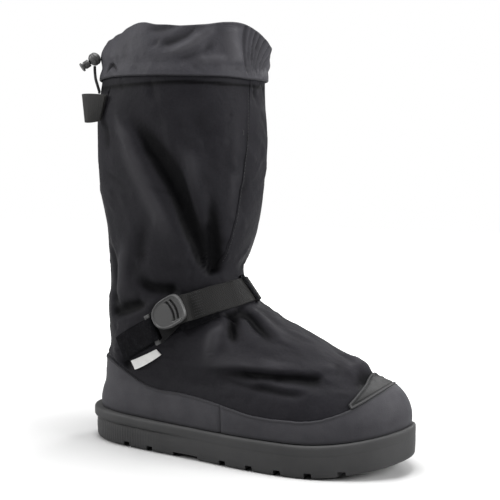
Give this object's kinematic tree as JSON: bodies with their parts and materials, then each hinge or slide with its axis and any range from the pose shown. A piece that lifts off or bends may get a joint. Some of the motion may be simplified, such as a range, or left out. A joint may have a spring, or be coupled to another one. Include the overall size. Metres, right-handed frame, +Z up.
{
  "type": "winter overshoe",
  "caption": "Tall nylon overshoe on a thick lugged sole, worn over a shoe, with an ankle strap, cam buckle, snow collar and pull loop.",
  "frame": {"origin": "on the floor, in the middle of the second heel lug, on the sole's centre line", "axes": "+X towards the toe, +Y towards the wearer's left (the inner side of this right overshoe), +Z up the shaft"},
  "size_m": [0.3172, 0.1282, 0.3816],
  "materials": {
    "nylon": "matte",
    "collar_nylon": "satin",
    "coated_fabric": "rubber-coated, matte",
    "bumper": "matte",
    "sole_rubber": "matte",
    "webbing": "woven",
    "hook_and_loop": "brushed",
    "buckle_plastic": "moulded",
    "label_cloth": "woven",
    "elastic_cord": "braided",
    "insole_foam": "brushed"
  },
  "bodies": {
    "root": {"outsole": "sole_rubber", "insole": "insole_foam", "upper": "nylon", "rand_heel": "coated_fabric", "rand_toe": "coated_fabric", "toe_cap": "bumper", "front_flap": "nylon", "collar": "collar_nylon", "ankle_strap": "webbing", "strap_backing": "hook_and_loop", "buckle_base": "buckle_plastic", "buckle_lever": "buckle_plastic", "label_tab": "label_cloth", "pull_loop": "webbing", "drawcord": "elastic_cord", "cord_lock_body": "buckle_plastic", "cord_lock_plunger": "buckle_plastic"}
  },
  "joints": []
}
